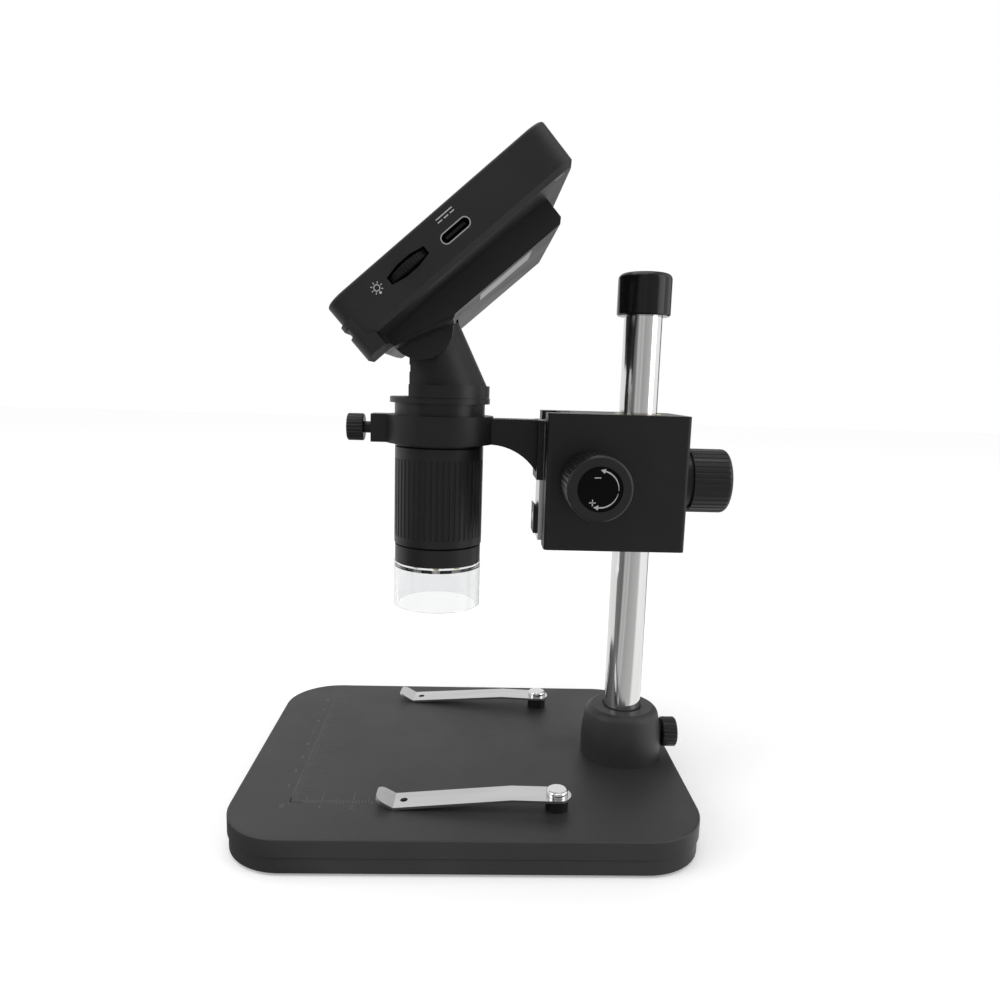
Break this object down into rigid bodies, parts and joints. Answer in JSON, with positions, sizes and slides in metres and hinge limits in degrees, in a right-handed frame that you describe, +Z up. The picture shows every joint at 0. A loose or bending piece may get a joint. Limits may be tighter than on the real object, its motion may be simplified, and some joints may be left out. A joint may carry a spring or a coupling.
{
  "type": "lcd digital microscope",
  "caption": "Stand microscope: tilting screen on a focusing tube held by an arm, rack and pinion block clamped on a chrome column, weighted flat base with spring clips",
  "frame": {"origin": "on the floor, at the centre of the base's footprint", "axes": "+Z up; +X towards the column; the screen faces up and towards -X; -Y is the side with the USB socket and the dimmer wheel"},
  "size_m": [0.1639, 0.1213, 0.2133],
  "materials": {
    "black_casting": "satin",
    "black_plastic": "matte",
    "gloss_black": "gloss",
    "black_knob": "satin",
    "chrome": "polished",
    "steel": "satin",
    "bright_aluminium": "satin",
    "brass": "machined",
    "nylon": "matte",
    "rubber": "matte",
    "clear_plastic": "clear",
    "lens_glass": "polished",
    "screen": "gloss",
    "circuit": "satin",
    "panel_metal": "satin",
    "battery_wrap": "satin",
    "weight_iron": "painted"
  },
  "bodies": {
    "base": {"base_top_shell": "black_plastic", "base_bottom_cover": "black_plastic", "base_weight_plate": "weight_iron", "base_feet": "rubber", "base_screws": "steel", "column_socket": "black_plastic", "clip_posts": "black_plastic", "clip_rivets": "chrome"},
    "front_clip": {"front_stage_clip": "chrome"},
    "rear_clip": {"rear_stage_clip": "chrome"},
    "socket_tip": {"socket_screw_tip": "nylon"},
    "socket_screw": {"socket_thumbscrew": "black_knob"},
    "column": {"column_tube": "chrome", "column_cap": "gloss_black"},
    "block": {"block_housing": "black_casting", "block_bushes": "brass"},
    "clamp_tip": {"clamp_pad": "nylon"},
    "clamp_screw": {"clamp_stud": "steel", "clamp_knob": "black_knob"},
    "focus_shaft": {"pinion_shaft": "steel", "focus_knobs": "black_knob", "knob_discs": "gloss_black"},
    "carriage": {"dovetail_slide": "bright_aluminium", "slide_stop": "black_casting", "gear_rack": "brass", "slide_screws": "steel", "holder_arm": "black_casting", "arm_screws": "steel"},
    "ring_tip": {"ring_screw_tip": "nylon"},
    "ring_screw": {"ring_thumbscrew": "black_knob"},
    "camera": {"barrel_tube": "black_plastic", "lower_ring": "black_plastic", "clear_hood": "clear_plastic", "light_ring": "circuit", "camera_board": "circuit", "neck_front_shell": "black_plastic", "neck_rear_shell": "black_plastic", "neck_screws": "steel", "hinge_pin": "steel"},
    "focus_ring": {"focus_sleeve": "black_plastic"},
    "lens": {"lens_cell": "black_plastic", "objective_lens": "lens_glass", "focus_pins": "steel"},
    "display": {"display_back_shell": "black_plastic", "display_bezel": "black_plastic", "display_screws": "steel", "screen_glass": "screen", "lcd_panel": "panel_metal", "circuit_boards": "circuit", "battery": "battery_wrap", "usb_c_socket": "steel", "card_socket": "steel", "port_block": "black_plastic"},
    "dimmer": {"dimmer_wheel": "black_knob"},
    "key_1": {"button_1": "black_knob"},
    "key_2": {"button_2": "black_knob"},
    "key_3": {"button_3": "black_knob"},
    "key_4": {"button_4": "black_knob"},
    "key_5": {"button_5": "black_knob"},
    "key_6": {"button_6": "black_knob"}
  },
  "joints": [
    {"name": "column_swivel", "type": "hinge", "parent": "base", "child": "column", "pos_m": [0.0568, 0, 0.0142], "axis": [0, 0, 1], "continuous": true},
    {"name": "block_height", "type": "slide", "parent": "column", "child": "block", "axis": [0, 0, 1], "range_m": [-0.034, 0.03]},
    {"name": "carriage_focus", "type": "slide", "parent": "block", "child": "carriage", "axis": [0, 0, 1], "range_m": [-0.012, 0.012]},
    {"name": "focus_knob_turn", "type": "hinge", "parent": "block", "child": "focus_shaft", "pos_m": [0.0385, 0, 0.1148], "axis": [0, 1, 0], "range_deg": [-110, 110]},
    {"name": "clamp_tip_travel", "type": "slide", "parent": "block", "child": "clamp_tip", "axis": [1, 0, 0], "range_m": [0, 0.002]},
    {"name": "clamp_knob_turn", "type": "hinge", "parent": "clamp_tip", "child": "clamp_screw", "pos_m": [0.0722, 0, 0.1139], "axis": [1, 0, 0], "range_deg": [0, 725]},
    {"name": "socket_tip_travel", "type": "slide", "parent": "base", "child": "socket_tip", "axis": [1, 0, 0], "range_m": [0, 0.0014]},
    {"name": "socket_screw_turn", "type": "hinge", "parent": "socket_tip", "child": "socket_screw", "pos_m": [0.0716, 0, 0.0198], "axis": [1, 0, 0], "range_deg": [0, 725]},
    {"name": "ring_tip_travel", "type": "slide", "parent": "carriage", "child": "ring_tip", "axis": [-1, 0, 0], "range_m": [0, 0.0014]},
    {"name": "ring_screw_turn", "type": "hinge", "parent": "ring_tip", "child": "ring_screw", "pos_m": [-0.0379, 0, 0.1297], "axis": [-1, 0, 0], "range_deg": [0, 725]},
    {"name": "camera_turn", "type": "hinge", "parent": "carriage", "child": "camera", "pos_m": [-0.012, 0, 0.1297], "axis": [0, 0, 1], "range_deg": [-32, 32]},
    {"name": "focus_ring_turn", "type": "hinge", "parent": "camera", "child": "focus_ring", "pos_m": [-0.012, 0, 0.107], "axis": [0, 0, 1], "range_deg": [-136, 136]},
    {"name": "lens_travel", "type": "slide", "parent": "camera", "child": "lens", "axis": [0, 0, 1], "range_m": [-0.0025, 0.0025]},
    {"name": "display_tilt", "type": "hinge", "parent": "camera", "child": "display", "pos_m": [-0.0179, 0, 0.1629], "axis": [0, -1, 0], "range_deg": [-2, 30]},
    {"name": "dimmer_turn", "type": "hinge", "parent": "display", "child": "dimmer", "pos_m": [-0.01792, -0.0537, 0.17466], "axis": [-0.66, 0, 0.7513], "range_deg": [-135, 135]},
    {"name": "front_clip_turn", "type": "hinge", "parent": "base", "child": "front_clip", "pos_m": [0.029, -0.04, 0.0158], "axis": [0, 0, 1], "range_deg": [-35, 60]},
    {"name": "rear_clip_turn", "type": "hinge", "parent": "base", "child": "rear_clip", "pos_m": [0.029, 0.04, 0.0158], "axis": [0, 0, 1], "range_deg": [-60, 35]},
    {"name": "button_1_press", "type": "slide", "parent": "display", "child": "key_1", "axis": [0.66, 0, -0.7513], "range_m": [0, 0.0004], "stiffness_N_per_m": 400},
    {"name": "button_2_press", "type": "slide", "parent": "display", "child": "key_2", "axis": [0.66, 0, -0.7513], "range_m": [0, 0.0004], "stiffness_N_per_m": 400},
    {"name": "button_3_press", "type": "slide", "parent": "display", "child": "key_3", "axis": [0.66, 0, -0.7513], "range_m": [0, 0.0004], "stiffness_N_per_m": 400},
    {"name": "button_4_press", "type": "slide", "parent": "display", "child": "key_4", "axis": [0.66, 0, -0.7513], "range_m": [0, 0.0004], "stiffness_N_per_m": 400},
    {"name": "button_5_press", "type": "slide", "parent": "display", "child": "key_5", "axis": [0.66, 0, -0.7513], "range_m": [0, 0.0004], "stiffness_N_per_m": 400},
    {"name": "button_6_press", "type": "slide", "parent": "display", "child": "key_6", "axis": [0.66, 0, -0.7513], "range_m": [0, 0.0004], "stiffness_N_per_m": 400}
  ],
  "couplings": [
    {"joint": "focus_knob_turn", "follows": "carriage_focus", "rad_per_m": 156.25},
    {"joint": "clamp_knob_turn", "follows": "clamp_tip_travel", "rad_per_m": 6283.2},
    {"joint": "socket_screw_turn", "follows": "socket_tip_travel", "rad_per_m": 8976},
    {"joint": "ring_screw_turn", "follows": "ring_tip_travel", "rad_per_m": 8976},
    {"joint": "focus_ring_turn", "follows": "lens_travel", "rad_per_m": 942.48}
  ]
}
